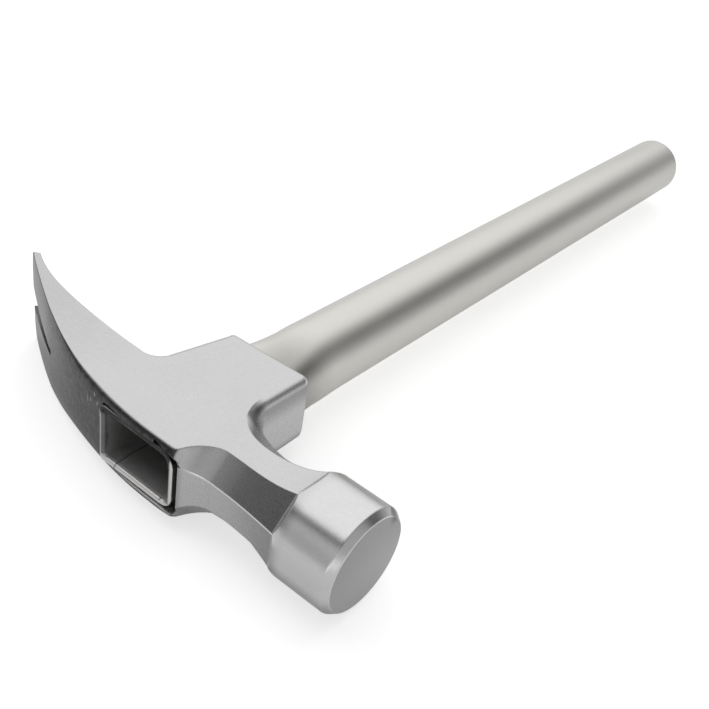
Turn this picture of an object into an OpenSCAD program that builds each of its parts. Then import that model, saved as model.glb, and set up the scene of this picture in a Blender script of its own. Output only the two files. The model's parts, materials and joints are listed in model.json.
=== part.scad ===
// Straight claw hammer: a forged steel head on a steel tube handle.
// Working axes before seating: X from the claws to the striking face, Y along the handle
// towards its butt, Z out of the upper cheek. The handle's axis crosses the head's at zero.
// The finished part is seated: the hammer lies on its side, with zero at the middle of its base.

/* [Head] */
// Distance from the handle's axis to the tips of the claws
claw_reach = 71.3; // [66:0.1:78]
// Distance from the handle's axis to the striking face
face_reach = 59.8; // [57:0.1:66]
// Thickness of the head across its flat cheeks
cheek_t = 22; // [21:0.5:25]
// Height of the crown, the side away from the handle, above the head's axis
crown_rise = 14.6; // [14:0.1:17]
// Place of the crown's highest point along the head
crown_x = 5; // [2:0.5:7]
// How far the socket's end stands below the head's axis
socket_reach = 31.4; // [27:0.1:36]
// Half width of the socket at its end, on the claw side
socket_claw_half = 13.7; // [13.4:0.1:16]
// Half width of the socket at its end, on the face side
socket_face_half = 15; // [14:0.1:15.1]
// Half width of the socket at its root, on the claw side
root_claw_half = 16.6; // [16:0.1:18]
// Half width of the socket at its root, on the face side
root_face_half = 15.1; // [14.5:0.1:16.5]
// Radius of the socket's long edges
socket_edge_r = 3; // [1.5:0.1:3.5]
// Radius of the socket's end corners, seen from the side
socket_corner_r = 1.8; // [1:0.1:5]
// Radius of the edges round the socket's end, on the cheeks
socket_end_r = 1.5; // [0.5:0.1:1.6]
// Radius of the hollow between the socket and the claws
root_fillet_r = 5; // [3:0.1:6]

/* [Claws] */
// Width across the claws at their tips
claw_w = 29.1; // [28:0.1:33]
// How far the claws' crown comes down towards the handle at the tips
claw_drop = 8.8; // [5:0.1:10]
// Slope of the crown at the tips, in degrees
claw_tip_angle = 28; // [20:1:32]
// Length of the flat ground on each tip
tip_flat = 3.2; // [2:0.1:4]
// Level of the claws' hollow side at its deepest, below the head's axis
claw_belly = 6.1; // [5:0.1:8]
// Width of the nail slot between the tips
slot_w = 6.6; // [5.5:0.1:9]
// Length of the nail slot
slot_len = 25.5; // [18:0.5:32]
// Radius of the nail slot's closed end
slot_end_r = 0.8; // [0.4:0.1:1.5]

/* [Neck and poll] */
// Diameter of the round poll
poll_d = 27.8; // [26.5:0.1:29]
// How far the poll's axis lies below the head's axis
poll_drop = 0.7; // [0.1:0.1:1.5]
// Diameter of the flat striking face
face_d = 24.9; // [20:0.1:26]
// Length of the chamfer round the striking face
face_chamfer = 2; // [1:0.1:3]
// Length of the poll behind the face chamfer
poll_len = 15.4; // [14:0.1:17]
// Height of the neck above the head's axis, on the crown side
neck_rise = 10.3; // [9:0.1:11]
// Depth of the neck below the head's axis, on the handle side
neck_depth = 9.2; // [8:0.1:10]
// Width that each of the neck's four chamfers takes off its cheek
neck_chamfer = 6.1; // [4:0.1:7]
// Radius where the neck swells into the poll
poll_flare_r = 16; // [12:0.5:20]
// Radius where the neck swells into the cheeks
cheek_flare_r = 9.5; // [8:0.5:10.5]
// Where the neck starts to swell towards the cheeks
neck_start = 22; // [21:0.5:24]

/* [Handle tube] */
// Distance from the head's axis to the butt of the handle
handle_reach = 276.3; // [220:0.1:330]
// Outside diameter of the handle tube
tube_d = 22.2; // [21:0.1:24]
// Wall of the handle tube
tube_wall = 1.5; // [1:0.1:2]
// Half width of the pressed tube inside the eye, along the head
eye_half_x = 12.1; // [11.2:0.1:12.4]
// Half width of the pressed tube inside the eye, across the cheeks
eye_half_z = 7.9; // [7:0.1:8.2]
// Corner radius of the pressed tube inside the eye
tube_corner_r = 3.4; // [2.5:0.1:4]
// Corner radius of the eye
eye_corner_r = 1; // [0.5:0.1:1.5]
// How far the tube's mouth is spread on each side, to lock it in the eye
mouth_spread = 0.8; // [0.3:0.1:0.9]
// Length of the spread mouth
mouth_len = 6; // [4:0.5:8]
// Height of the tube's cut end above the head's axis
mouth_rise = 13.9; // [12.5:0.1:14]
// Where the tube starts to open out from its pressed section, below the head's axis
press_end = 15; // [4:0.5:18]
// Length from the socket's end to where the tube is round again
swage_len = 22; // [15:0.5:35]

/* [Butt plug] */
// Length of the plug pressed into the butt of the tube
plug_len = 12; // [8:0.5:18]
// Depth of the dish in the plug's outer end
plug_dish = 1.2; // [0.5:0.1:2]
// Wall of the plug
plug_wall = 1.2; // [1:0.1:2]

/* [Fits] */
// Gap between the pressed tube and the walls of the eye
eye_gap = 0.05; // [0.02:0.01:0.1]
// Gap between the plug and the bore of the tube
plug_gap = 0.02; // [0.01:0.01:0.05]

/* [Hidden] */
$fn = 64;

// One overrun serves every cut, and one seam every pair of solids that grow together
over = 1;
seam = 0.1;
cheek_half = cheek_t / 2;
claw_half = claw_w / 2;
poll_r = poll_d / 2;
face_r = face_d / 2;
tube_r = tube_d / 2;
bore_r = tube_r - tube_wall;

// The seat puts the middle of the hammer's footprint at zero and its lowest point on the base
seat_x = (claw_reach - face_reach) / 2;
seat_y = (crown_rise - handle_reach) / 2;
seat_z = max(claw_half, poll_r);

// Steps along a curve, round a corner and along the pressed tube
curve_steps = 20;
corner_steps = 8;
press_steps = 12;

// Shares that place the handles of the claws' curves
crown_root_share = 0.38;
crown_tip_share = 0.41;
belly_root_share = 0.3;
belly_tip_share = 0.32;
flare_start_share = 0.14;
flare_root_share = 0.53;
flare_tip_share = 0.46;

// Cubic curve through two ends, with two handles
function along(p, q, t) = p * (1 - t) + q * t;
function quad(a, b, c, t) = along(along(a, b, t), along(b, c, t), t);
function cubic(a, b, c, d, t) = along(quad(a, b, c, t), quad(b, c, d, t), t);
function curve(a, b, c, d) =
    [for (i = [0:curve_steps]) cubic(a, b, c, d, i / curve_steps)];

// Arc by its centre, radius and two angles
function arc(centre, r, from, to) =
    [for (i = [0:corner_steps]) let (w = along(from, to, i / corner_steps))
        centre + r * [cos(w), sin(w)]];

// Arc of radius r that rounds the corner b between a and c
function unit(v) = v / norm(v);
function short_turn(w) = w > 180 ? w - 360 : w < -180 ? w + 360 : w;
function rounded(a, b, c, r) =
    let (
        u = unit(a - b),
        v = unit(c - b),
        half = acos(u * v) / 2,
        centre = b + unit(u + v) * r / sin(half),
        first = b + u * r / tan(half) - centre,
        last = b + v * r / tan(half) - centre,
        from = atan2(first[1], first[0]),
        turn = short_turn(atan2(last[1], last[0]) - from)
    )
    arc(centre, r, from, from + turn);

function flipped(points) = [for (i = [len(points) - 1:-1:0]) points[i]];
function mirrored(points) = [for (p = points) [p[0], -p[1]]];
function capped(points, limit) = [for (p = points) [p[0], min(p[1], limit)]];

// The neck's swelling to the cheeks begins here, and its side meets the socket's at neck_corner
neck_x = neck_start - cheek_flare_r;
neck_dx = neck_start - root_face_half;
neck_corner = [
    root_face_half,
    neck_depth + cheek_flare_r - sqrt(cheek_flare_r * cheek_flare_r - neck_dx * neck_dx)];

// Side outline of the claws, cheeks and socket
tip_slope = [cos(claw_tip_angle), -sin(claw_tip_angle)];
tip_top = [-claw_reach, claw_drop];
tip_bottom = tip_top + tip_flat * [sin(claw_tip_angle), cos(claw_tip_angle)];
crown_top = [crown_x, -crown_rise];
crown_line = curve(
    tip_top,
    tip_top + claw_reach * crown_tip_share * tip_slope,
    crown_top - [claw_reach * crown_root_share, 0],
    crown_top);
belly_root = [-root_claw_half, claw_belly];
belly_span = claw_reach - root_claw_half;
belly_line = curve(
    belly_root - [root_fillet_r, 0],
    belly_root - [root_fillet_r + belly_span * belly_root_share, 0],
    tip_bottom + belly_span * belly_tip_share * tip_slope,
    tip_bottom);
claw_side_corner = [-socket_claw_half, socket_reach];
face_side_corner = [socket_face_half, socket_reach];

module side_outline() {
    polygon(concat(
        crown_line,
        [[neck_x + seam, -crown_rise], [neck_x + seam, neck_corner[1]], neck_corner],
        rounded(neck_corner, face_side_corner, claw_side_corner, socket_corner_r),
        rounded(face_side_corner, claw_side_corner, belly_root, socket_corner_r),
        rounded(claw_side_corner, belly_root, belly_line[0], root_fillet_r),
        belly_line));
}

// Outline seen from the crown: flat cheeks that flare to the claws' full width
flare_start = -claw_reach * flare_start_share;
flare_span = claw_reach + flare_start;
flare_line = curve(
    [flare_start, cheek_half],
    [flare_start - flare_span * flare_root_share, cheek_half],
    [-claw_reach + flare_span * flare_tip_share, claw_half],
    [-claw_reach, claw_half]);

module crown_outline() {
    half = concat([[neck_start, cheek_half]], flare_line);
    polygon(concat(half, flipped(mirrored(half))));
}

// Nail slot: a V with a round closed end
module nail_slot() {
    slot_end = slot_len - claw_reach - slot_end_r;
    rotate([90, 0, 0])
        linear_extrude(height = 4 * crown_rise, center = true) {
            polygon([
                [slot_end, slot_end_r],
                [slot_end, -slot_end_r],
                [-claw_reach, -slot_w / 2],
                [-claw_reach - over, -slot_w / 2],
                [-claw_reach - over, slot_w / 2],
                [-claw_reach, slot_w / 2]]);
            translate([slot_end, 0])
                circle(r = slot_end_r);
        }
}

// Waste outside one rounded edge of the socket's upper cheek, from one point to past another
module edge_waste(root, end, r) {
    lean = atan2(end[0] - root[0], end[1] - root[1]);
    run = norm(end - root);
    translate([root[0], root[1], cheek_half])
        rotate([-90, 0, -lean])
            translate([-r, r, 0])
                difference() {
                    translate([0, -r - over, 0])
                        cube([r + over, r + over, run + over]);
                    translate([0, 0, -over])
                        cylinder(r = r, h = run + 3 * over);
                }
}

module socket_edges() {
    claw_root = along(belly_root, claw_side_corner, root_fillet_r / socket_reach);
    for (side = [0, 1])
        mirror([0, 0, side]) {
            edge_waste(neck_corner, face_side_corner, socket_edge_r);
            mirror([1, 0, 0])
                edge_waste(
                    [-claw_root[0], claw_root[1]],
                    [socket_claw_half, socket_reach],
                    socket_edge_r);
            edge_waste(face_side_corner, claw_side_corner, socket_end_r);
        }
}

// Profile of one of the neck's flats along X: flare at the cheeks, straight, flare at the poll
poll_edge = face_reach - face_chamfer - poll_len;
function flare_sweep(level, poll_level) = acos(1 - (poll_level - level) / poll_flare_r);
function flare_begin(level, poll_level) =
    poll_edge - poll_flare_r * sin(flare_sweep(level, poll_level));
function poll_flare(level, poll_level) =
    concat(
        arc(
            [flare_begin(level, poll_level), level + poll_flare_r],
            poll_flare_r,
            -90,
            flare_sweep(level, poll_level) - 90),
        [[face_reach + over, poll_level + poll_r]]);
function cheek_flare(level) =
    arc([neck_start, level + cheek_flare_r], cheek_flare_r, -180, -90);

// A pair of flats, handle side and crown side, turned about the head's axis
module flats(angle, handle_profile, crown_profile) {
    rotate([angle, 0, 0])
        linear_extrude(height = 4 * poll_d, center = true)
            polygon(concat(handle_profile, flipped(mirrored(crown_profile))));
}

module slanted_flats(angle) {
    slant = cos(angle);
    handle_level = (neck_depth - neck_chamfer + cheek_half) * slant;
    crown_level = (neck_rise - neck_chamfer + cheek_half) * slant;
    flats(
        angle,
        concat(cheek_flare(handle_level), poll_flare(handle_level, poll_r + poll_drop * slant)),
        concat(cheek_flare(crown_level), poll_flare(crown_level, poll_r - poll_drop * slant)));
}

module neck_and_poll() {
    cheek_profile = concat([[neck_x, cheek_half]], poll_flare(cheek_half, poll_r));
    intersection() {
        flats(
            0,
            concat(cheek_flare(neck_depth), poll_flare(neck_depth, poll_r + poll_drop)),
            capped(
                concat(cheek_flare(neck_rise), poll_flare(neck_rise, poll_r - poll_drop)),
                crown_rise));
        flats(90, cheek_profile, cheek_profile);
        slanted_flats(45);
        slanted_flats(-45);
        union() {
            poll();
            translate([neck_x, -poll_d, -poll_d])
                cube([neck_cut - neck_x, 2 * poll_d, 2 * poll_d]);
        }
    }
}

// The round poll starts inside the neck, where the neck's edges are still within it
neck_cut = along(flare_begin(cheek_half, poll_r), poll_edge, 1 / 2);
module poll() {
    translate([0, poll_drop, 0])
        rotate([0, 90, 0])
            rotate_extrude()
                polygon([
                    [0, neck_cut - over],
                    [poll_r, neck_cut - over],
                    [poll_r, face_reach - face_chamfer],
                    [face_r, face_reach],
                    [0, face_reach]]);
}

// The pressed tube: round at the grip, a rounded rectangle in the eye, spread at its mouth
round_start = socket_reach + swage_len;
function smooth(t) = t * t * (3 - 2 * t);
function pressed(y) = 1 - smooth(max(0, min(1, (y - press_end) / (round_start - press_end))));
function spread(y) = mouth_spread * max(0, (mouth_len - mouth_rise - y) / mouth_len);
function ring(y, grow, corner_r) =
    let (
        p = pressed(y),
        half_x = along(tube_r, eye_half_x, p) + spread(y) + grow,
        half_z = along(tube_r, eye_half_z, p) + spread(y) + grow,
        r = along(tube_r, corner_r, p) + grow
    )
    [for (quarter = [0:3], i = [0:corner_steps])
        let (
            w = 90 * (quarter + i / corner_steps),
            side_x = quarter == 0 || quarter == 3 ? 1 : -1,
            side_z = quarter < 2 ? 1 : -1
        )
        [side_x * (half_x - r) + r * cos(w), y, side_z * (half_z - r) + r * sin(w)]];

// The pressed length ends tucked inside the round tube, so that their skins don't touch
function tuck(y) = y < round_start ? 0 : seam;

// Skin over a row of rings
module loft(rings) {
    n = len(rings[0]);
    last = len(rings) - 1;
    polyhedron(
        points = [for (one = rings, p = one) p],
        faces = concat(
            [[for (i = [n - 1:-1:0]) i]],
            [[for (i = [0:n - 1]) last * n + i]],
            [for (k = [0:last - 1], i = [0:n - 1]) let (j = (i + 1) % n)
                [k * n + i, (k + 1) * n + j, (k + 1) * n + i]],
            [for (k = [0:last - 1], i = [0:n - 1]) let (j = (i + 1) % n)
                [k * n + i, k * n + j, (k + 1) * n + j]]));
}

// Stations from one end, through the mouth's root and the pressed length, to the other end
function stations(from, to) = concat(
    [from, mouth_len - mouth_rise],
    [for (i = [0:press_steps]) let (y = along(press_end, round_start, i / press_steps))
        if (y < to) y],
    [to]);

module eye() {
    loft([for (y = stations(-crown_rise - over, socket_reach + over))
        ring(y, eye_gap, eye_corner_r)]);
}

module head() {
    color([0.66, 0.67, 0.69])
        seat()
            difference() {
                union() {
                    intersection() {
                        linear_extrude(height = 2 * claw_w, center = true)
                            side_outline();
                        rotate([90, 0, 0])
                            linear_extrude(height = 4 * socket_reach, center = true)
                                crown_outline();
                    }
                    neck_and_poll();
                }
                nail_slot();
                socket_edges();
                eye();
            }
}

module handle_tube() {
    color([0.74, 0.74, 0.71])
        seat()
            difference() {
                union() {
                    loft([for (y = stations(-mouth_rise, round_start + over))
                        ring(y, -tuck(y), tube_corner_r)]);
                    along_handle(round_start)
                        cylinder(r = tube_r, h = handle_reach - round_start);
                }
                loft([for (y = stations(-mouth_rise - over, round_start + over))
                    ring(y, -tube_wall - tuck(y), tube_corner_r)]);
                along_handle(round_start)
                    cylinder(r = bore_r, h = handle_reach - round_start + over);
            }
}

// Dished cup, pressed into the butt with its dish flush with the tube's end
module butt_plug() {
    plug_r = bore_r - plug_gap;
    color([0.42, 0.43, 0.44])
        seat()
            along_handle(handle_reach - plug_len)
                rotate_extrude()
                    polygon([
                        [plug_r - plug_wall, 0],
                        [plug_r, 0],
                        [plug_r, plug_len],
                        [plug_r - plug_wall, plug_len],
                        [plug_r - plug_wall - plug_dish, plug_len - plug_dish],
                        [0, plug_len - plug_dish],
                        [0, plug_len - plug_dish - plug_wall],
                        [plug_r - plug_wall, plug_len - plug_dish - plug_wall]]);
}

// Stands a shape built along Z on the handle's axis, from one place towards the butt
module along_handle(from) {
    translate([0, from, 0])
        rotate([-90, 0, 0])
            children();
}

module seat() {
    translate([seat_x, seat_y, seat_z])
        children();
}

head();
handle_tube();
butt_plug();
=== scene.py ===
# %% [markdown]
# # A straight claw hammer
# The hammer has three pieces: a forged steel head, a steel tube for a handle, and a plug in
# the tube's butt. The frame that is loaded here already holds them at their real size, as
# plain solids. This lesson dresses them: each step models one piece or mixes one finish.
# The solids' box is taken at the start and printed, and the floor is later laid at its bottom.

# %% Load the frame
import json
import math

import bmesh
import bpy
import numpy as np
from mathutils import Matrix, Vector
from mathutils.geometry import interpolate_bezier


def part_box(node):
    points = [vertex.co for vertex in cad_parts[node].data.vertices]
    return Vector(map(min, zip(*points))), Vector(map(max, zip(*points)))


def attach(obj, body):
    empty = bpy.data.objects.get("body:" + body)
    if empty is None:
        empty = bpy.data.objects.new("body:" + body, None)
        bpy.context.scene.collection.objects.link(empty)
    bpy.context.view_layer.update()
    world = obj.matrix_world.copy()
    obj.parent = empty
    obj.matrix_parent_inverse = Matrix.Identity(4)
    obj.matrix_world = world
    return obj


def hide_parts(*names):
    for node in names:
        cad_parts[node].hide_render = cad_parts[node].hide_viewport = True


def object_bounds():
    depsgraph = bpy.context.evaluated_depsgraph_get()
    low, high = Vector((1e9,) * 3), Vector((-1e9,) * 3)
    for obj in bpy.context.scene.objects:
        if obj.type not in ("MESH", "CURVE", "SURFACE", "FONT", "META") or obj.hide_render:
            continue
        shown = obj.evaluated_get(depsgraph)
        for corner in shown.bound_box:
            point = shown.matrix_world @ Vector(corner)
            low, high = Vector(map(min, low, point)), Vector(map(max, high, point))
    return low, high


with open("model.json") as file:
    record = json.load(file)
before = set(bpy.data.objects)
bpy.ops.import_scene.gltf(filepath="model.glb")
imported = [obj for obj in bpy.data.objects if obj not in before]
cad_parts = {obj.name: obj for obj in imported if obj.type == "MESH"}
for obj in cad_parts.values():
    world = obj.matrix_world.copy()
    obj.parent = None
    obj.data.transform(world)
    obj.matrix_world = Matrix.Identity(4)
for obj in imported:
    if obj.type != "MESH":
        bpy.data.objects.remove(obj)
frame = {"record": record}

cad_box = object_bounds()
print("box of the solids", [[round(c, 5) for c in corner] for corner in cad_box])

# %% [markdown]
# A hammer is easiest to describe from the place where the handle's axis crosses the head's.
# In these hammer coordinates x runs from the claws to the striking face, y down the handle
# and z out of the upper cheek, all in millimetres. Blender works in metres in the frame of
# the solids, so two small functions translate. The mounts in the record say where the axes are.

# %% Hammer coordinates
MM = 0.001
POLL_DROP = 0.7
mounts = {mount["name"]: mount for mount in frame["record"]["mounts"]}
grip = mounts["grip"]
face = mounts["strike_face"]
ZERO = Vector((grip["pos_m"][0], face["pos_m"][1] - POLL_DROP * MM, grip["pos_m"][2]))
TUBE_R = grip["dims"]["r_mm"]


def at(x, y, z):
    """A point of the hammer, in millimetres, as a place in the frame."""
    return ZERO + Vector((x, y, z)) * MM


def hammer(place):
    """A place in the frame as hammer coordinates in millimetres."""
    return (Vector(place) - ZERO) / MM


head_low, head_high = (hammer(corner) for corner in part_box("head"))
tube_low, tube_high = (hammer(corner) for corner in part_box("handle_tube"))
CLAW_X = head_low.x
FACE_X = head_high.x
CROWN_Y = head_low.y
SOCKET_Y = head_high.y
TIP_HALF = head_high.z
MOUTH_Y = tube_low.y
BUTT_Y = tube_high.y
print(f"head {FACE_X - CLAW_X:.1f} mm long, handle to {BUTT_Y:.1f} mm below it")

# %% [markdown]
# The camera comes first, because every later render is compared with the photograph. Its
# place and angles were worked out from the edges of the hammer in the picture: it looks
# down on the hammer from the side of the striking face, and is rolled a little to the left.

# %% Camera
CAMERA_AT = (136.455, -134.103, 162.174)
AZIMUTH, ELEVATION, ROLL = (math.radians(angle) for angle in (33.60, 34.69, -10.13))
FOCAL = 995.93
PHOTO_WIDTH = 709

look = Vector((
    -math.sin(AZIMUTH) * math.cos(ELEVATION),
    math.cos(AZIMUTH) * math.cos(ELEVATION),
    -math.sin(ELEVATION)))
level = Vector((math.cos(AZIMUTH), math.sin(AZIMUTH), 0))
down = look.cross(level)
right = level * math.cos(ROLL) + down * math.sin(ROLL)
up = level * math.sin(ROLL) - down * math.cos(ROLL)
camera = bpy.data.objects.new("camera", bpy.data.cameras.new("camera"))
bpy.context.scene.collection.objects.link(camera)
camera.matrix_world = Matrix.Translation(at(*CAMERA_AT)) @ Matrix(
    (right, up, -look)).transposed().to_4x4()
camera.data.sensor_width = 36
camera.data.lens = camera.data.sensor_width * FOCAL / PHOTO_WIDTH
camera.data.clip_start = 0.01
bpy.context.scene.camera = camera
print(f"camera lens {camera.data.lens:.1f} mm")

# %% [markdown]
# Blender's operators act on whatever is selected. These helpers select one object, open it
# for editing, pick faces or edges by their place, and apply a modifier as soon as it is
# added. With them each modelling step below reads like the clicks it stands for.

# %% Modelling helpers
MODES = {"verts": "VERT", "edges": "EDGE", "faces": "FACE"}


def choose(piece):
    """Makes one object the only selected and active one."""
    bpy.ops.object.select_all(action="DESELECT")
    piece.select_set(True)
    bpy.context.view_layer.objects.active = piece


def added(name):
    """Names the primitive that was just added, and applies its turn and scale."""
    piece = bpy.context.object
    piece.name = name
    choose(piece)
    bpy.ops.object.transform_apply(location=True, rotation=True, scale=True)
    return piece


def edit(piece):
    """Opens a piece in edit mode."""
    choose(piece)
    bpy.ops.object.mode_set(mode="EDIT")


def done():
    """Closes edit mode."""
    bpy.ops.object.mode_set(mode="OBJECT")


def pick(kind, test):
    """In edit mode, selects only the verts, edges or faces that pass a test."""
    bpy.ops.mesh.select_mode(type=MODES[kind])
    bpy.ops.mesh.select_all(action="DESELECT")
    data = bpy.context.edit_object.data
    mesh = bmesh.from_edit_mesh(data)
    for item in getattr(mesh, kind):
        if test(item):
            item.select_set(True)
    mesh.select_flush_mode()
    bmesh.update_edit_mesh(data)


def reshape(rule):
    """In edit mode, moves every vertex to the hammer coordinates that a rule gives it."""
    data = bpy.context.edit_object.data
    mesh = bmesh.from_edit_mesh(data)
    for vert in mesh.verts:
        vert.co = at(*rule(*hammer(vert.co)))
    bmesh.update_edit_mesh(data)


def cut_across(axis, stations):
    """In edit mode, cuts the mesh by planes across one axis, at hammer coordinates."""
    normal = [0, 0, 0]
    normal[axis] = 1
    for station in stations:
        point = [0, 0, 0]
        point[axis] = station
        bpy.ops.mesh.select_all(action="SELECT")
        bpy.ops.mesh.bisect(plane_co=at(*point), plane_no=normal, threshold=1e-7)


def modify(piece, kind, **settings):
    """Adds a modifier with its settings and applies it."""
    choose(piece)
    modifier = piece.modifiers.new(kind.lower(), kind)
    for name, value in settings.items():
        setattr(modifier, name, value)
    bpy.ops.object.modifier_apply(modifier=modifier.name)


def combine(piece, tool, operation):
    """Cuts, joins or intersects a piece with a tool, which is used up."""
    modify(piece, "BOOLEAN", object=tool, operation=operation, solver="EXACT")
    bpy.data.objects.remove(tool)


def smooth(piece):
    """Shades a piece smooth, except across edges that turn by more than 40 degrees."""
    choose(piece)
    bpy.ops.object.shade_smooth_by_angle(angle=math.radians(40))


def told(piece):
    """Prints a piece's size as a mesh, and how many of its edges don't close it."""
    mesh = bmesh.new()
    mesh.from_mesh(piece.data)
    gaps = sum(not edge.is_manifold for edge in mesh.edges)
    volume = mesh.calc_volume() / MM**3
    print(f"{piece.name}: {len(mesh.faces)} faces, {gaps} open edges, {volume:.0f} mm3")
    mesh.free()


# %% [markdown]
# ## The outline of the head
# Seen from the side, the crown of the head is one long curve that comes down to the claw
# tips, and the claws' hollow side is another. Each is a Bezier curve: one handle points
# along the tip's slope and the other lies level. The cheeks flare from 22 mm to the claws'
# full width along a third curve.

# %% Curves of the claws
CHEEK = 11
CROWN_X = 5
TIP_DROP = 8.8
TIP_SLOPE = math.radians(28)
TIP_FLAT = 3.2
BELLY_Y = 6.1
ROOT_X = -16.6
ROOT_R = 5
BELLY_X = ROOT_X - ROOT_R
CROWN_HANDLES, BELLY_HANDLES = (29.2, 27.1), (17.5, 16.4)
FLARE_FROM_X, FLARE_TO_X = -36, -44
FIRST_CUT, CLAW_CUTS = 2.4, 20

along_tip = Vector((math.cos(TIP_SLOPE), -math.sin(TIP_SLOPE)))
tip_top = Vector((CLAW_X, TIP_DROP))
tip_under = tip_top + TIP_FLAT * Vector((math.sin(TIP_SLOPE), math.cos(TIP_SLOPE)))


def curve(start, start_handle, end_handle, end, steps=80):
    """Points of a Bezier curve, as two arrays that can be looked up by x."""
    bend = [Vector(point).to_3d() for point in (start, start_handle, end_handle, end)]
    return np.array([point.xy for point in interpolate_bezier(*bend, steps)]).T


def sweep(tip, root, handles):
    """A curve that leaves the tip along its slope and comes level into the root."""
    return curve(tip, tip + handles[0] * along_tip, (root[0] - handles[1], root[1]), root)


crown_curve = sweep(tip_top, (CROWN_X, CROWN_Y), CROWN_HANDLES)
belly_curve = sweep(tip_under, (BELLY_X, BELLY_Y), BELLY_HANDLES)
flare_curve = curve(
    (CLAW_X, TIP_HALF), (FLARE_TO_X, TIP_HALF), (FLARE_FROM_X, CHEEK), (BELLY_X, CHEEK))
claw_stations = np.linspace(tip_under.x + FIRST_CUT, BELLY_X, CLAW_CUTS)
print(f"claws: {np.interp(-50, *flare_curve):.2f} mm half thickness midway")

# %% [markdown]
# The neck is a bar with eight flats: one to the crown's side, one to the handle's, one on
# each cheek, and four slanted ones between them. Each flat has its own distance from the
# head's axis. It comes down from the cheeks in an arc to its waist, swells again, and ends
# in a short steep shoulder where it meets the round poll.

# %% Flats of the neck
POLL_R = 13.9
POLL_EDGE_X, SHOULDER = 43.6, 1.1
PAST_FACE_X = FACE_X + 2
WAIST_HANDLE, SHOULDER_HANDLE = 7, 3.4
ARC_X, ARC_R = 22, 9.5
SWELL_X, CROWN_SWELL_X = 27, 24
DIAGONAL = math.sqrt(0.5)
CROWN_SIDE, CROWN_SLANT, HANDLE_SLANT, HANDLE_SIDE = 10.6, 11.1, 9.6, 9.2


def swelling(waist, poll, start, slope):
    """Distance of one flat from the axis: its waist, its swelling, and a steep shoulder."""
    end = (POLL_EDGE_X - SHOULDER, poll - SHOULDER)
    end_handle = (end[0] - SHOULDER_HANDLE, end[1] - SHOULDER_HANDLE * slope)
    rise = curve((start, waist), (start + WAIST_HANDLE, waist), end_handle, end)
    return np.hstack([rise, [[PAST_FACE_X], [poll + PAST_FACE_X - POLL_EDGE_X]]])


slant_drop = POLL_DROP * DIAGONAL
crown_side = swelling(CROWN_SIDE, POLL_R - POLL_DROP, CROWN_SWELL_X, 0.17)
crown_slant = swelling(CROWN_SLANT, POLL_R - slant_drop, CROWN_SWELL_X, 0.15)
cheek_side = swelling(CHEEK, POLL_R, SWELL_X, 0.3)
handle_slant = swelling(HANDLE_SLANT, POLL_R + slant_drop, SWELL_X, 0.7)
handle_side = swelling(HANDLE_SIDE, POLL_R + POLL_DROP, SWELL_X, 0.9)


def half_thickness(x):
    """Half of the head's thickness at a station."""
    line = flare_curve if x < BELLY_X else cheek_side
    return float(np.interp(x, *line))


def arc_rise(x):
    """How far a flat stands above its waist on the arc beside the cheeks."""
    run = min(ARC_R, max(0, ARC_X - x))
    return ARC_R - math.sqrt(ARC_R**2 - run**2)


print(f"neck: {CROWN_SIDE + HANDLE_SIDE:.1f} mm deep at its waist")

# %% [markdown]
# ## The rim of the head
# The head will start as one outline, extruded to its thickness. What gives a forging its
# look is how that outline turns over into the flat cheeks: a 3 mm rounding along the socket,
# a slanted flat along the neck, hardly anything under the claws. So each point of the
# outline is written down with four more facts: the point on the cheek where the turning
# begins, how deep it goes, how round it is, and how far the crown rolls towards the cheeks.

# %% How a point of the rim is written down
CROWN_FALL, TIP_FALL, TIP_SINK = 0.6, 0.3, 1.1
SINK_END_X = -48
CROWN_R_STARTS_X, CROWN_R_FULL_X = -38, -18
ROLL_END_X, ROLL_FADE = 9, 6
FAR = 99
CLAW_R, CROWN_R, BELLY_R, TIP_R = 0.25, 1.6, 0.5, 0.4
SOCKET_R, SOCKET_END_R = 3, 2
SOCKET_FACE_X, SOCKET_CLAW_X, WALL_X = 15.3, -13.1, 15.35
SOCKET_CLAW_Y = SOCKET_Y - 0.9
rim = []


def lay(outer, cheek, depth, roundness=1, roll=0):
    """Writes down the next point of the rim."""
    rim.append((Vector(outer), Vector(cheek), depth, roundness, roll))


def soft_least(one, other, softness=0.3):
    """The smaller of two numbers, eased where they are nearly equal."""
    return -softness * float(np.logaddexp(-one / softness, -other / softness))


def along_crown(x):
    """Height of the crown at a station, and how far it falls from there to the cheeks."""
    sink, fall = (float(np.interp(x, (CLAW_X, SINK_END_X), ends)) for ends in (
        (TIP_SINK, 0), (TIP_FALL, CROWN_FALL)))
    return float(np.interp(x, *crown_curve)) + sink, fall


print(f"the crown at the tips: {along_crown(CLAW_X)[0]:.2f} mm below the head's axis")

# %% [markdown]
# The points start at a claw's tip and go along the crown. Beside the eye the crown's rounding
# widens into the arc and the slanted flat of the neck. Out along the neck every point has a
# flat and no rounding, and back along its other side too.

# %% Crown and neck
tip_edge = Vector((tip_top.x, along_crown(tip_top.x)[0]))
lay(tip_edge, tip_edge + Vector((TIP_R, TIP_R)), TIP_R, 1, TIP_FALL)
for x in (*claw_stations, *np.linspace(BELLY_X, ROLL_END_X, 13)[1:]):
    y, fall = along_crown(x)
    radius = float(np.interp(x, (CROWN_R_STARTS_X, CROWN_R_FULL_X), (CLAW_R, CROWN_R)))
    lay((x, y), (x, y + radius), radius, 1, fall)
for x in (*np.linspace(10.5, 16, 12), *np.linspace(17, ARC_X, 5)):
    on_arc = x > ARC_X - ARC_R
    side = soft_least(-CROWN_Y, CROWN_SIDE + arc_rise(x) if on_arc else FAR)
    facet = CHEEK + side - (CROWN_SLANT + arc_rise(x)) / DIAGONAL
    facet = -soft_least(-CROWN_R, -facet if on_arc else FAR)
    share = min(1, (x - ROLL_END_X) / ROLL_FADE)
    lay((x, -side), (x, facet - side), facet, 1 - share, CROWN_FALL * (1 - share))
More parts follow.
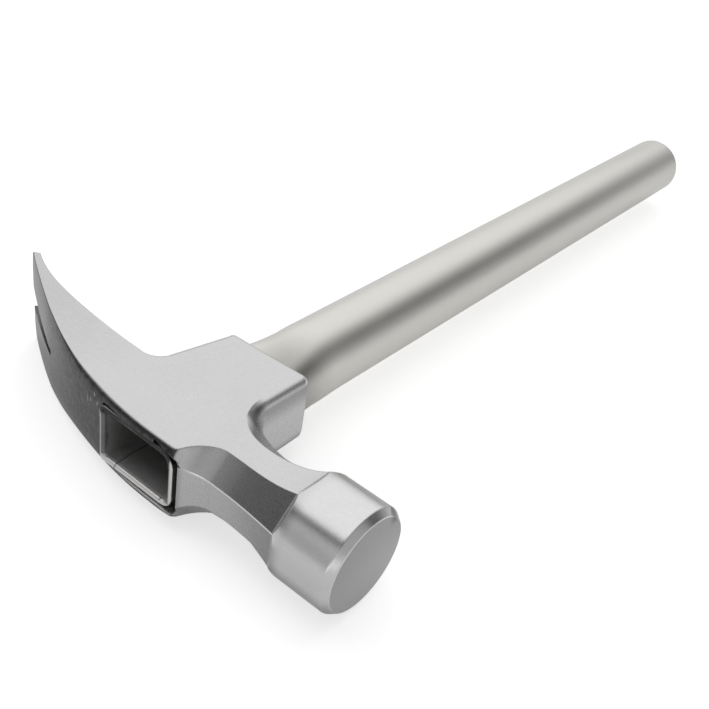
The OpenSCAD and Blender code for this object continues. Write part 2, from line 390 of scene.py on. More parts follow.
swell_stations = (*np.linspace(SWELL_X, POLL_EDGE_X - SHOULDER, 22), PAST_FACE_X)
for x in swell_stations:
    side, slant, half = (
        float(np.interp(x, *line)) for line in (crown_side, crown_slant, cheek_side))
    lay((x, -side), (x, half - slant / DIAGONAL), half + side - slant / DIAGONAL, 0)
for x in reversed(swell_stations):
    side, slant, half = (
        float(np.interp(x, *line)) for line in (handle_side, handle_slant, cheek_side))
    lay((x, side), (x, slant / DIAGONAL - half), half + side - slant / DIAGONAL, 0)
print(f"{len(rim)} points from the claw tip round to the neck's handle side")

# %% [markdown]
# Beside the neck the slanted flat turns up into the socket's rounding. Both curves of that
# hollow are Bezier curves, and the depth and roundness change along them in equal steps. Then
# come the socket's two corners, the root of the claws and their hollow side, back to the tip.

# %% The hollow, the socket and the claws' hollow side
HOLLOW_END_Y, HOLLOW_STEPS, CORNER_STEPS, ROOT_STEPS = 16, 15, 6, 8
NECK_HANDLE_X, NECK_CHEEK_HANDLE_X = 18.5, 17
WALL_HANDLE, WALL_CHEEK_HANDLE = (WALL_X, 10.6), (12.4, 8.3)
FACE_CORNER_R, CLAW_CORNER_R = 2.4, 1.8
waist_depth = rim[-1][2]
waist_cheek_y = rim[-1][1].y
hollow = curve(
    (SWELL_X, HANDLE_SIDE), (NECK_HANDLE_X, HANDLE_SIDE),
    WALL_HANDLE, (WALL_X, HOLLOW_END_Y), HOLLOW_STEPS + 1)
hollow_cheek = curve(
    (SWELL_X, waist_cheek_y), (NECK_CHEEK_HANDLE_X, waist_cheek_y),
    WALL_CHEEK_HANDLE, (WALL_X - SOCKET_R, HOLLOW_END_Y), HOLLOW_STEPS + 1)
for step, (outer, cheek) in enumerate(zip(hollow.T[1:], hollow_cheek.T[1:]), 1):
    share = step / HOLLOW_STEPS
    lay(outer, cheek, waist_depth + (SOCKET_R - waist_depth) * share, share)


def corner(tip, side, radius, start, radii):
    """A rounded corner of the socket, with one point on the cheek and a depth that changes."""
    centre = Vector(tip) - radius * Vector((side, 1))
    inner = Vector(tip) - Vector((side * SOCKET_R, SOCKET_END_R))
    for step, angle in enumerate(np.radians(np.linspace(start, start + 90, CORNER_STEPS + 1))):
        outer = centre + radius * Vector((math.cos(angle), math.sin(angle)))
        lay(outer, inner, radii[0] + (radii[1] - radii[0]) * step / CORNER_STEPS)


corner((SOCKET_FACE_X, SOCKET_Y), 1, FACE_CORNER_R, 0, (SOCKET_R, SOCKET_END_R))
corner((SOCKET_CLAW_X, SOCKET_CLAW_Y), -1, CLAW_CORNER_R, 90, (SOCKET_END_R, SOCKET_R))
lean = math.degrees(math.atan2(SOCKET_CLAW_X - ROOT_X, SOCKET_Y - BELLY_Y))
for step, angle in enumerate(np.radians(np.linspace(-lean, -90, ROOT_STEPS + 1))):
    out = Vector((math.cos(angle), math.sin(angle)))
    radius = SOCKET_R + (BELLY_R - SOCKET_R) * step / ROOT_STEPS
    outer = Vector((BELLY_X, BELLY_Y + ROOT_R)) + ROOT_R * out
    lay(outer, outer + radius * out, radius)
for x in claw_stations[-2::-1]:
    y = float(np.interp(x, *belly_curve))
    lay((x, y), (x, y - BELLY_R), BELLY_R)
lay(tip_under, tip_under + Vector((TIP_R, -TIP_R)), TIP_R)
print(f"{len(rim)} points round the whole head")

# %% [markdown]
# ## Forging the head
# A filled circle is added with as many vertices as the rim has points, its vertices are
# moved onto the outline in order, and the face is extruded to the head's thickness. Cuts
# across the claws and the neck let the cheeks flare, and cuts along the head make rows of
# vertices: a few for the roll of the crown, and close ones for the turn into the cheeks.

# %% Blank of the head
EDGE_SHARE = 0.88
EDGE_ROWS = (0.91, 0.94, 0.97)
CROWN_ROWS = (0.35, 0.6, 0.78, EDGE_SHARE)

bpy.ops.object.select_all(action="DESELECT")
bpy.ops.mesh.primitive_circle_add(
    vertices=len(rim), radius=CHEEK * MM, fill_type="NGON", location=at(0, 0, -CHEEK))
head = added("claw_head")
for vert, (outer, *_) in zip(head.data.vertices, rim):
    vert.co = at(*outer, -CHEEK)
edit(head)
bpy.ops.mesh.select_all(action="SELECT")
bpy.ops.mesh.extrude_region_move(TRANSFORM_OT_translate={"value": (0, 0, 2 * CHEEK * MM)})
cut_across(0, (*claw_stations, *swell_stations[:-1]))
cut_across(2, [side * share * CHEEK for share in CROWN_ROWS + EDGE_ROWS for side in (-1, 1)])
bpy.ops.mesh.select_all(action="SELECT")
bpy.ops.mesh.normals_make_consistent(inside=False)
done()
told(head)

# %% [markdown]
# Forging is one rule for all vertices. It finds the nearest point of the rim, and its facts
# say how far in and how high the vertex goes. On the lower cheek the neck's slanted flat is
# ground deeper, and the socket's rounding is wider.

# %% Forged head
ROLL_POWER = 5
UNDER_CUT_X = (9, 17, 27, 36, POLL_EDGE_X)
UNDER_CUT_DEPTH = (0, 0.88, 2.2, 2.42, 0)
UNDER_ROUND, UNDER_ROUND_Y = 2.4, (11, 18)
SAME_POINT = 0.01


def forge(x, y, z):
    """Places one vertex of the blank by the facts of the nearest point of the rim."""
    outer, cheek, depth, roundness, roll = min(
        rim, key=lambda fact: (fact[0].x - x) ** 2 + (fact[0].y - y) ** 2)
    if z < 0 and outer.y < 0:
        deeper = float(np.interp(outer.x, UNDER_CUT_X, UNDER_CUT_DEPTH))
        cheek = cheek + Vector((0, deeper))
        depth += deeper
    elif z < 0 and outer.x > 0:
        deeper = UNDER_ROUND * float(np.interp(outer.y, UNDER_ROUND_Y, (0, 1)))
        cheek = cheek - Vector((deeper, 0))
        depth += deeper
    share = abs(z) / CHEEK
    half = half_thickness(outer.x)
    step = max(0, (share - EDGE_SHARE) / (1 - EDGE_SHARE))
    turn = step * math.pi / 2
    inward = step + roundness * (1 - math.cos(turn) - step)
    rise = step + roundness * (math.sin(turn) - step)
    height = (half - depth) * min(1, share / EDGE_SHARE) + depth * rise
    place = outer.lerp(cheek, inward)
    fall = roll * (height / half) ** ROLL_POWER
    return place.x, place.y + fall, math.copysign(height, z)


edit(head)
reshape(forge)
bpy.ops.mesh.select_all(action="SELECT")
bpy.ops.mesh.remove_doubles(threshold=SAME_POINT * MM)
done()
told(head)

# %% [markdown]
# The flats of the neck meet in edges that a belt has just broken. They are the only steep
# edges on the striking side of the socket, so they can be picked by their angle and place.

# %% Broken edges of the flats
FLAT_EDGE_R = 0.35
FLAT_ANGLE = math.radians(26)
FLATS_FROM_X = 10
edit(head)
pick("edges", lambda edge: edge.calc_face_angle(0) > FLAT_ANGLE
     and all(hammer(vert.co).x > FLATS_FROM_X for vert in edge.verts))
bpy.ops.mesh.bevel(offset=FLAT_EDGE_R * MM, segments=3)
done()
told(head)

# %% [markdown]
# The poll is turned on a lathe, so its shape starts as a cylinder. The end face is inset and
# drawn out to the poll's length, and once more, smaller, to make the chamfer round the
# striking face. Where the lathe's shape and the neck's flats are intersected, the flats run
# out in the curved lines that a ground hammer neck shows.

# %% Round poll
LATHE_X, LATHE_R, LATHE_LENGTH = 30, 50, 120
CHAMFER_X = FACE_X - 2
FACE_R = 12.45
CHAMFER_EDGE_R = 0.35
bpy.ops.mesh.primitive_cylinder_add(
    vertices=160, radius=LATHE_R * MM, depth=LATHE_LENGTH * MM,
    location=at(LATHE_X - LATHE_LENGTH / 2, POLL_DROP, 0), rotation=(0, math.pi / 2, 0))
poll = added("poll")
edit(poll)
pick("faces", lambda face: face.normal.x > 0.9)
bpy.ops.mesh.inset(thickness=(LATHE_R - POLL_R) * MM)
bpy.ops.mesh.extrude_region_move(
    TRANSFORM_OT_translate={"value": ((CHAMFER_X - LATHE_X) * MM, 0, 0)})
bpy.ops.mesh.extrude_region_move(
    TRANSFORM_OT_translate={"value": ((FACE_X - CHAMFER_X) * MM, 0, 0)})
ring = FACE_R / POLL_R
bpy.ops.transform.resize(value=(1, ring, ring), center_override=at(FACE_X, POLL_DROP, 0))
done()
modify(poll, "BEVEL", width=CHAMFER_EDGE_R * MM, segments=3, limit_method="ANGLE",
       angle_limit=math.radians(20), use_clamp_overlap=False)
combine(head, poll, "INTERSECT")
told(head)

# %% [markdown]
# The eye was broached a little large at one corner, and the tube's round corner leaves a
# dark three-sided gap there. A narrow wedge, cut before the eye itself, makes it.

# %% Gap at the corner of the eye
GAP_FROM_X, GAP_TO_X, GAP_END_Y, GAP_LENGTH = 6.4, 11.8, -9, 8
GAP_FLOOR_Z, GAP_CLAW_Z, GAP_FACE_Z = 8, 10.2, 9.2


def wedged(x, y, z):
    """Slopes the top of the block where the gap narrows."""
    top = GAP_FACE_Z if x > GAP_TO_X - 1 else GAP_CLAW_Z
    return x, y, top if z > GAP_FLOOR_Z + 1 else GAP_FLOOR_Z


bpy.ops.mesh.primitive_cube_add(
    size=1, location=at((GAP_FROM_X + GAP_TO_X) / 2, GAP_END_Y - GAP_LENGTH / 2, GAP_FLOOR_Z + 1),
    scale=((GAP_TO_X - GAP_FROM_X) * MM, GAP_LENGTH * MM, 2 * MM))
wedge = added("corner_gap")
edit(wedge)
reshape(wedged)
done()
combine(head, wedge, "DIFFERENCE")
told(head)

# %% [markdown]
# ## The pressed tube
# The handle is one steel tube. It is round along the grip and pressed to a rounded
# rectangle inside the head. Between the two the press has pushed it a little to the striking
# side. A function gives its cross-section at any distance down the handle, and both the tube
# and the eye that it sits in are shaped by it.

# %% Cross-section of the tube
EYE_HALF_X, EYE_HALF_Z = 12.1, 7.9
PRESS_END_Y, PRESS_SHIFT = 15, 0.3
ROUND_Y = BUTT_Y - (BUTT_Y - hammer(grip["pos_m"]).y) * 2
MOUTH_LENGTH = 6
WALL = 1.5
EYE_FIT = {"corners": (1, 2.4), "spread": (0.85, 2.35, 1.1), "grow": 0.05}
TUBE_FIT = {"corners": (1.6, 4.2), "spread": (0.8, 0.8, 0.8), "grow": 0}
CORNER_EASE = 1.6
RING = 96


def section(y, angle, fit):
    """The point of the section at an angle round it, a distance y below the axis of the head."""
    x, z = math.cos(angle), math.sin(angle)
    share = min(1, max(0, (y - PRESS_END_Y) / (ROUND_Y - PRESS_END_Y)))
    pressed = 1 - share * share * (3 - 2 * share)
    mouth = max(0, (MOUTH_Y + MOUTH_LENGTH - y) / MOUTH_LENGTH)
    claw_side, face_side, cheek_side = (mouth * spread for spread in fit["spread"])
    corner = fit["corners"][x > 0]
    side = face_side if x > 0 else claw_side
    half_x = TUBE_R + (EYE_HALF_X - TUBE_R) * pressed + side + fit["grow"]
    half_z = TUBE_R + (EYE_HALF_Z - TUBE_R) * pressed + cheek_side + fit["grow"]
    radius = TUBE_R + (corner - TUBE_R) * pressed**CORNER_EASE + fit["grow"]
    shift = 4 * PRESS_SHIFT * pressed * (1 - pressed)
    return (
        math.copysign(half_x - radius, x) + radius * x + shift,
        math.copysign(half_z - radius, z) + radius * z)


def sleeve(name, from_y, to_y, stations, fit, ends):
    """A tube along the handle whose rings follow the section."""
    bpy.ops.mesh.primitive_cylinder_add(
        vertices=RING, radius=TUBE_R * MM, depth=(to_y - from_y) * MM, end_fill_type=ends,
        location=at(0, (from_y + to_y) / 2, 0), rotation=(math.pi / 2, math.pi / RING, 0))
    piece = added(name)
    edit(piece)
    cut_across(1, stations)

    def press(x, y, z):
        side, rise = section(y, math.atan2(z, x), fit)
        return side, y, rise

    reshape(press)
    done()
    return piece


press_stations = np.concatenate([
    [MOUTH_Y + MOUTH_LENGTH], np.linspace(PRESS_END_Y, ROUND_Y, 28)])
eye_stations = press_stations[press_stations < SOCKET_Y]
eye = sleeve("eye", CROWN_Y - 2, SOCKET_Y + 2, eye_stations, EYE_FIT, "NGON")
combine(head, eye, "DIFFERENCE")
told(head)

# %% [markdown]
# The nail slot is a V with a rounded closed end. A block that starts a little before the tips
# is narrowed at its other end to make the V, its two closed corners are bevelled round, and
# it is cut out of the claws.

# %% Nail slot
SLOT_HALF, SLOT_END_HALF, SLOT_LENGTH = 3.3, 0.85, 25.5
SLOT_END_R = 0.7
BEFORE_TIP, OPENING, BLOCK_HEIGHT = 1, 1.03, 60
bpy.ops.mesh.primitive_cube_add(
    size=1, location=at(CLAW_X + (SLOT_LENGTH - BEFORE_TIP) / 2, 0, 0),
    scale=((SLOT_LENGTH + BEFORE_TIP) * MM, BLOCK_HEIGHT * MM, 2 * SLOT_HALF * MM))
slot = added("slot")
edit(slot)
reshape(lambda x, y, z: (x, y, math.copysign(SLOT_END_HALF, z) if x > CLAW_X else OPENING * z))
pick("edges", lambda edge: all(hammer(v.co).x > CLAW_X for v in edge.verts)
     and abs(edge.verts[0].co.y - edge.verts[1].co.y) > MM)
bpy.ops.mesh.bevel(offset=SLOT_END_R * MM, segments=5)
done()
combine(head, slot, "DIFFERENCE")
told(head)

# %% [markdown]
# A last narrow bevel takes the sharpness off every edge that is left, except at the claws'
# thin tips, which are ground sharp. Without it no edge would catch the light. Weighted
# normals keep the large flat faces flat beside it.

# %% Soft edges and smooth shading
EDGE_R = 0.15
EDGE_ANGLE = math.radians(28)
GROUND_TIP = 5
SLIVER = 0.02
edit(head)
bpy.ops.mesh.select_all(action="SELECT")
bpy.ops.mesh.remove_doubles(threshold=SLIVER * MM)
pick("edges", lambda edge: edge.calc_face_angle(0) > EDGE_ANGLE
     and all(hammer(vert.co).x > CLAW_X + GROUND_TIP for vert in edge.verts))
bpy.ops.mesh.bevel(offset=EDGE_R * MM, segments=2)
done()
smooth(head)
modify(head, "WEIGHTED_NORMAL", weight=80, keep_sharp=True)
told(head)

# %% [markdown]
# ## The handle
# The same section shapes the handle's skin, from the cut mouth in the crown to the butt. A
# Solidify modifier gives it the tube's wall, and gives the bore its own finish. The mouth
# was opened with a punch, so its inner rim gets a wide rounding and its outer one a narrow.

# %% Handle tube
RIM_INNER, RIM_OUTER, BUTT_RIM = 0.8, 0.3, 0.25
tube = sleeve("tube_handle", MOUTH_Y, BUTT_Y, press_stations, TUBE_FIT, "NOTHING")
plated = bpy.data.materials.new("handle_steel")
bore_steel = bpy.data.materials.new("bore_steel")
tube.data.materials.append(plated)
tube.data.materials.append(bore_steel)
modify(tube, "SOLIDIFY", thickness=WALL * MM, offset=-1, use_even_offset=True,
       material_offset=1, material_offset_rim=1)


def weigh_edges(piece, rule):
    """Gives each edge the bevel weight that a rule finds from the edge's two ends."""
    weights = piece.data.attributes.new("bevel_weight_edge", "FLOAT", "EDGE")
    points = [hammer(vert.co) for vert in piece.data.vertices]
    for edge in piece.data.edges:
        weights.data[edge.index].value = rule(*(points[i] for i in edge.vertices))


def rim_radius(p, q):
    """Radius of the rounding on an edge: 0 unless it runs along one of the tube's four rims."""
    if abs(p.y - q.y) > 0.01 or MOUTH_Y + 0.1 < p.y < BUTT_Y - 0.1:
        return 0
    if p.y > 0:
        return BUTT_RIM
    outer = section(MOUTH_Y, math.atan2(p.z, p.x), TUBE_FIT)
    on_outside = math.hypot(p.x, p.z) > math.hypot(*outer) - 0.5
    return RIM_OUTER if on_outside else RIM_INNER


weigh_edges(tube, lambda p, q: rim_radius(p, q) / RIM_INNER)
modify(tube, "BEVEL", width=RIM_INNER * MM, segments=4, limit_method="WEIGHT",
       use_clamp_overlap=False)
smooth(tube)
told(tube)

# %% [markdown]
# ## The butt plug
# The plug is a pressed steel cup. It starts as a cylinder in the tube's bore. Its outer face
# is inset and pushed in to make the dish, and a bevel rounds the dish's rim and foot.

# %% Butt plug
PLUG_GAP = 0.02
PLUG_R = TUBE_R - WALL - PLUG_GAP
PLUG_RIM, PLUG_DISH, PLUG_EDGE_R = 1.2, 1.2, 0.3
plug_low = hammer(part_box("butt_plug")[0])
bpy.ops.mesh.primitive_cylinder_add(
    vertices=RING, radius=PLUG_R * MM, depth=(BUTT_Y - plug_low.y) * MM,
    location=at(0, (BUTT_Y + plug_low.y) / 2, 0), rotation=(math.pi / 2, 0, 0))
plug = added("plug_cup")
edit(plug)
pick("faces", lambda face: face.normal.y > 0.9)
bpy.ops.mesh.inset(thickness=PLUG_RIM * MM)
bpy.ops.mesh.inset(thickness=PLUG_DISH * MM, depth=-PLUG_DISH * MM)
pick("faces", lambda face: face.normal.y < -0.9)
bpy.ops.mesh.inset(thickness=PLUG_RIM * MM)
bpy.ops.mesh.extrude_region_move(
    TRANSFORM_OT_translate={"value": (0, (BUTT_Y - plug_low.y - 2 * PLUG_DISH) * MM, 0)})
done()
modify(plug, "BEVEL", width=PLUG_EDGE_R * MM, segments=3, limit_method="ANGLE",
       angle_limit=math.radians(30))
smooth(plug)
told(plug)

# %% [markdown]
# ## Finishes
# A finish is a small graph of nodes. Writing it as arithmetic keeps it readable: this class
# wraps a socket, so that adding or multiplying two of them adds the Math node for it.

# %% Wires


class Wire:
    """One output in a shader. Arithmetic on it adds Math nodes."""

    def __init__(self, graph, socket):
        self.graph = graph
        self.socket = socket

    def math(self, operation, first, second):
        return self.graph.node("Math", {"operation": operation}, {0: first, 1: second})

    def __add__(self, other):
        return self.math("ADD", self, other)

    def __sub__(self, other):
        return self.math("SUBTRACT", self, other)

    def __mul__(self, other):
        return self.math("MULTIPLY", self, other)

    def __radd__(self, other):
        return self.math("ADD", other, self)

    def __rsub__(self, other):
        return self.math("SUBTRACT", other, self)

    def __rmul__(self, other):
        return self.math("MULTIPLY", other, self)

    def __abs__(self):
        return self.math("ABSOLUTE", self, 0)

    def toward(self, goal, share):
        """This value where the share is 0, and the goal where it is 1."""
        return self + share * (goal - self)


# %% [markdown]
# A second class holds the nodes. One method adds a node of any kind, with its settings first
# and then its sockets, and the others are the few things that every finish here needs: the
# hammer's coordinates, smooth steps along them, spots of a size, and a metal to end with.

# %% Graphs
BLACK = (0, 0, 0, 1)
WHITE = (1, 1, 1, 1)


class Graph:
    """The nodes of a material or of the world."""

    def __init__(self, owner):
        owner.use_nodes = True
        self.tree = owner.node_tree
        self.tree.nodes.clear()

    def node(self, kind, settings=None, sockets=None, output=0):
        """Adds a node: its settings come first, then the values or wires of its sockets."""
        node = self.tree.nodes.new("ShaderNode" + kind)
        for name, value in (settings or {}).items():
            setattr(node, name, value)
        for name, value in (sockets or {}).items():
            if isinstance(value, Wire):
                self.tree.links.new(value.socket, node.inputs[name])
            else:
                node.inputs[name].default_value = value
        return Wire(self, node.outputs[output]) if node.outputs else node

    def split(self, vector):
        """The x, y and z of a vector, as three wires."""
        xyz = self.node("SeparateXYZ", None, {0: vector})
        return [Wire(self, output) for output in xyz.socket.node.outputs]

    def hammer(self, place):
        """The hammer coordinates of a place, in millimetres, as three wires."""
        return self.split(self.node("Mapping", None, {
            "Vector": place, "Location": -ZERO / MM, "Scale": (1 / MM, 1 / MM, 1 / MM)}))

    def step(self, value, start, end):
        """A smooth step from 0 at the start to 1 at the end, whichever of the two is larger."""
        return self.node(
            "MapRange", {"interpolation_type": "SMOOTHSTEP"},
            {"Value": value, "From Min": start, "From Max": end})

    def band(self, value, start, full, still_full, end):
        """A smooth step up between the first two values and down between the last two."""
        return self.step(value, start, full) * self.step(value, end, still_full)

    def blend(self, share, first, second):
        """The first colour where the share is 0, the second where it is 1."""
        return self.node("Mix", {"data_type": "RGBA"}, {0: share, 6: first, 7: second}, 2)

    def noise(self, place, size, detail=2.0, squeeze=(1, 1, 1)):
        """Noise about 0, with spots of a size in millimetres, longer where it is squeezed."""
        squeezed = self.node("Mapping", None, {"Vector": place, "Scale": squeeze})
        spots = self.node(
            "TexNoise", None,
            {"Vector": squeezed, "Scale": 1 / (size * MM), "Detail": detail, "Roughness": 0.6})
        return spots - 0.5

    def backdrop(self, steel_share):
        """1 to the camera, and a share of that to what shows in steel or through a piece."""
        camera, glossy, through = (
            self.node("LightPath", output=f"Is {kind} Ray")
            for kind in ("Camera", "Glossy", "Transmission"))
        return camera + steel_share * (glossy + through)

    def metal(self, tone, tint, roughness, relief, strength, depth):
        """Ends a metal: its tinted grey, its roughness, and a relief to a depth in millimetres."""
        bump = self.node("Bump", None, {
            "Height": relief, "Strength": strength, "Distance": depth * MM})
        surface = self.node("BsdfPrincipled", None, {
            "Base Color": self.blend(tone, BLACK, (*tint, 1)), "Metallic": 1.0,
            "Roughness": roughness, "Normal": bump})
        self.node("OutputMaterial", None, {"Surface": surface})
        print(f"a metal of {len(self.tree.nodes)} nodes")


# %% [markdown]
# The head is carbon steel, blasted to an even satin and then ground on its poll and face.
# Its crown, its hollow and its neck each look a little different, so the shader first needs
# to know where it is. Each place is a mask, 1 there and 0 elsewhere: a product of smooth
# steps on the piece's own coordinates and normals, so it stays put in every view.

# %% Places on the head
steel = bpy.data.materials.new("head_steel")
graph = Graph(steel)
place = graph.node("TexCoord", output="Object")
x, y, z = graph.hammer(place)
to_face, to_butt, to_sky = graph.split(graph.node("TexCoord", output="Normal"))
to_crown = 0 - to_butt
mottle = graph.noise(place, 1.6, 4)

on_crown = graph.step(to_crown, 0.3, 0.62) * graph.step(x, WALL_X + 0.5, WALL_X - 2.5)
crown_by_eye = graph.step(x + mottle * 12, -56, -22)
crown_below = graph.step(z, -1, -8) * (1 - crown_by_eye)
scores = graph.step(graph.noise(place, 2.2, 1, (2.2, 1, 0.5)), 0.13, 0.17)
scores = scores * on_crown * graph.band(x, -24, -20, -9, -4) * graph.step(z, 3, 6)

on_claws = graph.step(x, -15, -55)
in_slot = graph.step(abs(z), 4, 3.3) * graph.step(abs(to_sky), 0.7, 0.9)
on_poll = graph.step(x, POLL_EDGE_X - 2, POLL_EDGE_X + 3)
on_face = graph.step(to_face, 0.9, 0.98) * graph.step(x, 50, 51)
facing_down = graph.step(to_sky, -0.05, -0.5)

beside_socket = graph.step(x, 9, 11) * graph.step(y, 10, 15)
socket_edge_highlight = beside_socket * graph.band(to_sky, 0.42, 0.58, 0.70, 0.84)
under_edge = beside_socket * graph.step(to_sky, 0.5, 0.3) * graph.step(z, 2, 9)
crescent = graph.step(x, 8, 10) * graph.band(y, 6.5, 9, 11.5, 16)
crescent = crescent * graph.band(z, 6.5, 9.8, CHEEK - 0.12, CHEEK)
in_hollow = graph.step(to_butt, 0.2, 0.6) * graph.step(to_sky, 0.97, 0.8)
in_hollow = in_hollow * graph.step(x, 10, 12) * graph.step(y, 26, 18)

on_slant = graph.step(to_crown, 0.45, 0.6) * graph.step(to_sky, 0.45, 0.6)
on_slant = on_slant * graph.step(x, 16, 31) * (1 - on_poll)
on_flat = graph.step(to_crown, 0.88, 0.96) * graph.step(x, 22, 44) * (1 - on_poll)
flat_edge_highlight = graph.step(to_crown, 0.7, 0.8) * graph.band(to_sky, 0.16, 0.3, 0.46, 0.6)
flat_edge_highlight = flat_edge_highlight * graph.step(x, 15, 17) * (1 - on_poll)
print(f"places on the head: {len(graph.tree.nodes)} nodes")

# %% [markdown]
# Close to, blasting leaves fine pits, so the grey carries a fine grain, and broad soft
# patches stand for the hand of the grinder. Then each place is drawn toward its own grey.
# The ground face is darker, and darker still toward the upper cheek, as painted shade. The crown
# is darkened partly by the forge's dark scale, mottled near the eye, and partly by painted shade,
# which is stronger on the claws and toward the lower cheek. Painted shade also darkens the walls
# of the nail slot, a strip under the socket's rounded edge, a crescent in the hollow beside it,
# the hollow itself, surfaces that face down, and the neck's slanted and crown-side flats. The
# socket's rounded edge and the broken edge between two of the flats carry a painted highlight, and
# tools have left a few bright scores above the eye.

# %% Head steel
grain = graph.noise(place, 0.35, 3)
patches = graph.noise(place, 14, 3)
strokes = graph.noise(place, 1.2, 2, (0.12, 1, 1))
# the crown's darkening: forge scale near the eye, mottled, and painted shade, stronger on the
# claws and toward the lower cheek
crown_skin_and_shade = 0.58 + on_claws * 0.20 + crown_below * 0.10 + crown_by_eye * (0.28 + mottle * 0.3)

tone = 0.66 + grain * 0.14 + mottle * 0.06 + patches * 0.06 + on_poll * 0.10 - on_claws * 0.07
for share, goal in (
        # painted shade: the ground face darker, and darker still toward the upper cheek
        (on_face * (0.38 + 0.14 * graph.step(z, -8, 12)), 0),
        # painted shade on the walls of the nail slot
        (in_slot * 0.8, 0),
        # painted shade on a strip under the socket's rounded edge
        (under_edge * 0.42, 0),
        # painted highlight along the socket's rounded edge
        (socket_edge_highlight, 0.98),
        # painted shade: the dark crescent in the hollow beside the socket
        (crescent * 0.66, 0),
        # painted shade on surfaces that face down
        (facing_down * 0.45, 0),
        # painted shade on the neck's slanted and crown-side flats and in the hollow
        (on_slant * 0.5, 0),
        (in_hollow * 0.5, 0),
        (on_flat * 0.4, 0),
        # painted highlight on the broken edge between two of the neck's flats
        (flat_edge_highlight, 0.95),
        (on_crown * crown_skin_and_shade, 0)):
    tone = tone.toward(goal, share)
tone = tone + scores * 0.3

roughness = 0.27 + grain * 0.12 + patches * 0.06 - on_poll * 0.05 + on_face * 0.1
relief = (grain + 0.4 * strokes) * (1 - 0.5 * on_poll) + on_crown * crown_by_eye * mottle * 2
graph.metal(tone, (1, 1, 1.005), roughness, relief, 0.3, 0.04)
head.data.materials.clear()
head.data.materials.append(steel)

# %% [markdown]
# The tube is plated and satin finished, a little warmer than the head. Its grain runs round the
# tube, because the tube was spun against the belt, and its speckle is finer. Beside the socket,
# where it was pressed, it is darkened toward the striking side as painted shade, and the upper rim
# of its mouth is dark.

# %% Handle steel
graph = Graph(plated)
place = graph.node("TexCoord", output="Object")
x, y, z = graph.hammer(place)
grain = graph.noise(place, 0.4, 3)
patches = graph.noise(place, 22, 3)
spun = graph.noise(place, 0.8, 2, (0.3, 3, 0.3))
# painted shade on the tube's striking side beside the socket
pressed_shade = graph.step(y + patches * 10, 50, 31) * graph.step(x, -8, 5)
upper_rim = graph.step(z, 4.5, 6.5) * graph.step(y, MOUTH_Y + 2, MOUTH_Y + 1)
tone = 0.76 + grain * 0.10 + patches * 0.05 + spun * 0.03
tone = tone.toward(0, pressed_shade * 0.38).toward(0, upper_rim * 0.7)
roughness = 0.36 + grain * 0.10 + patches * 0.08
graph.metal(tone, (1.0, 0.985, 0.935), roughness, grain + 0.3 * spun, 0.22, 0.03)

# %% [markdown]
# Inside, the tube is as it came from the mill: dark with oxide and oil, and its weld seam shows as
# a line down the lower wall. At the mouth the bore is darker, more so on its upper side, and its
# lower and striking sides carry a painted highlight, with a thinner one on the claw side. The
# butt's rim is as bright as the outside.

# %% Bore of the tube
SEAM_X = -7.2
graph = Graph(bore_steel)
place = graph.node("TexCoord", output="Object")
x, y, z = graph.hammer(place)
grain = graph.noise(place, 0.8, 3)
mottle = graph.noise(place, 4, 2)
at_mouth = graph.step(y + mottle, MOUTH_Y + 1.5, MOUTH_Y + 0.7)
at_butt = graph.step(y, BUTT_Y - 1, BUTT_Y - 0.5)
upper = graph.step(z, 5.5, 7)
lower = graph.step(z, -6, -7.2)
striking = graph.step(x, 11.7, 12.3)
# painted highlight on the lower and striking sides of the mouth, and a thin one on its claw side
mouth_highlight = graph.node("Math", {"operation": "MAXIMUM"}, {0: lower, 1: striking}) * at_mouth
claw_edge_highlight = graph.step(x, -12, -12.6) * (1 - upper) * at_mouth
seam = graph.step(abs(x - SEAM_X), 0.35, 0.15) * graph.step(z, 0, -4)
tone = 0.40 + mottle * 0.14 + grain * 0.08 - at_mouth * (0.16 + upper * 0.14)
for share, goal in ((mouth_highlight, 0.9), (claw_edge_highlight, 0.8), (seam * 0.5, 0), (at_butt, 0.7)):
    tone = tone.toward(goal, share)
roughness = 0.55 + grain * 0.2 - mouth_highlight * 0.2 - at_butt * 0.18
graph.metal(tone, (1.0, 0.985, 0.98), roughness, grain + 2 * seam, 0.3, 0.05)

# %% [markdown]
# The plug was pressed from plain sheet and never ground, so it is darker and duller, with
# rings from the press round its dish.

# %% Plug steel
pressed_steel = bpy.data.materials.new("plug_steel")
graph = Graph(pressed_steel)
place = graph.node("TexCoord", output="Object")
from_axis = graph.node("Mapping", None, {
    "Vector": place, "Location": (-ZERO.x, 0, -ZERO.z), "Scale": (1, 0, 1)})
rings = graph.node(
    "TexWave", {"wave_type": "RINGS", "rings_direction": "SPHERICAL"},
    {"Vector": from_axis, "Scale": 320.0, "Distortion": 1.5, "Detail": 2.0}, output=1)
grain = graph.noise(place, 0.5, 3)
tone = 0.42 + grain * 0.12 + (rings - 0.5) * 0.03
graph.metal(tone, (0.98, 1, 1.02), 0.42 + grain * 0.15, grain + 0.5 * rings, 0.25, 0.04)
plug.data.materials.clear()
plug.data.materials.append(pressed_steel)

# %% [markdown]
# ## The studio
# Polished steel shows whatever stands round it, so the studio matters as much as the metal.
# One broad soft light hangs behind the hammer, above and to the left. Weak ones fill from
# the front and the right, a small one stands low in front, and a pale wall rises a little
# way from the table all round. Between them the studio is dim, and steel that faces there
# turns dark. The world's shader is this studio, as brightness in each direction: a light is
# a product of smooth steps. The camera itself sees a plain white backdrop instead.

# %% Soft light
LAMP_GLOW, FILL_GLOW, SIDE_GLOW, LOW_GLOW, WALL_GLOW, DIM = 1.14, 0.52, 0.42, 0.7, 0.48, 0.08
GLOSS_SHARE = 0.04

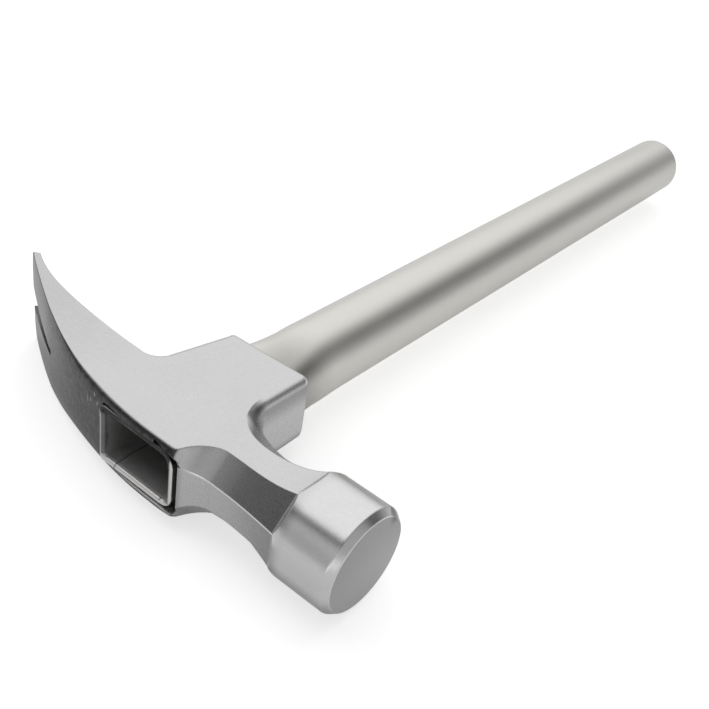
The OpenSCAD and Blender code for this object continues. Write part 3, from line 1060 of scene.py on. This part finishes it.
world = bpy.data.worlds.new("studio")
bpy.context.scene.world = world
graph = Graph(world)
east, north, height = graph.split(graph.node("TexCoord", output="Generated"))
lamp = graph.step(north, -0.54, -0.34) * graph.step(
    east - 0.5 * height, 0.26, -0.40) * graph.step(height, -0.1, 0.45)
fill = graph.step(north, -0.56, -0.70) * graph.step(east, -0.64, -0.44) * graph.step(
    height, 0.1, 0.5)
side = graph.step(east, 0.5, 0.72) * graph.step(north, 0.64, 0.4) * graph.step(height, -0.1, 0.2)
low = graph.band(east, -0.15, 0.1, 0.6, 0.8) * graph.step(north, -0.3, -0.5) * graph.step(
    height, 0.34, 0.12)
wall = graph.step(height, 0.46, 0.02)
radiance = DIM + LAMP_GLOW * lamp + FILL_GLOW * fill + SIDE_GLOW * side
radiance = radiance + LOW_GLOW * low + WALL_GLOW * wall
light = graph.node("Background", None, {
    "Strength": radiance.toward(1, graph.backdrop(GLOSS_SHARE))})
graph.node("OutputWorld", None, {"Surface": light})
print(f"the studio: {len(graph.tree.nodes)} nodes")

# %% [markdown]
# The floor is a large pale sheet under the hammer. To the camera it also glows a little, which
# makes it white all over, and the hammer still lays its soft shadow on it. In front of the head
# its glow towards the steel is lowered, a painted shadow that only the steel shows, so the crown
# and the neck stay darker.

# %% Floor
FLOOR_ALBEDO = 0.78
FLOOR_GLOW = 0.62
FLOOR_GLOSS_SHARE, FRONT_DARKER = 0.40, 0.22
FLOOR_SIZE = 40
bpy.ops.object.select_all(action="DESELECT")
bpy.ops.mesh.primitive_plane_add(size=FLOOR_SIZE, location=(0, 0, cad_box[0][2]))
floor = bpy.context.object
floor.name = "floor"
paper = bpy.data.materials.new("pale_floor")
graph = Graph(paper)
place = graph.node("TexCoord", output="Object")
paper_tone = FLOOR_ALBEDO + graph.noise(place, 3, 2) * 0.01
matt = graph.node("BsdfDiffuse", None, {"Color": graph.blend(paper_tone, BLACK, WHITE)})
# painted shadow: in front of the head the floor's glow seen by the steel is lowered
in_front = graph.step(graph.hammer(place)[1], 5, -35)
seen = graph.backdrop(FLOOR_GLOSS_SHARE - FRONT_DARKER * in_front)
glow = graph.node("Emission", None, {"Strength": seen * FLOOR_GLOW})
surface = graph.node("AddShader", None, {0: matt, 1: glow})
graph.node("OutputMaterial", None, {"Surface": surface})
floor.data.materials.append(paper)
print(f"floor at {floor.location.z:.3f} m: {len(graph.tree.nodes)} nodes")

# %% [markdown]
# ## Bodies
# Each piece rides on the hammer's one body, and the solid it replaces is hidden. Each row also
# names the piece's finish, which is not used here.

# %% Pieces and bodies
dressed = (
    (head, "head", "head_steel"),
    (tube, "handle_tube", "handle_steel"),
    (plug, "butt_plug", "plug_steel"))
for piece, node, slot in dressed:
    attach(piece, "root")
    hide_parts(node)

bpy.context.scene.view_settings.view_transform = "Standard"
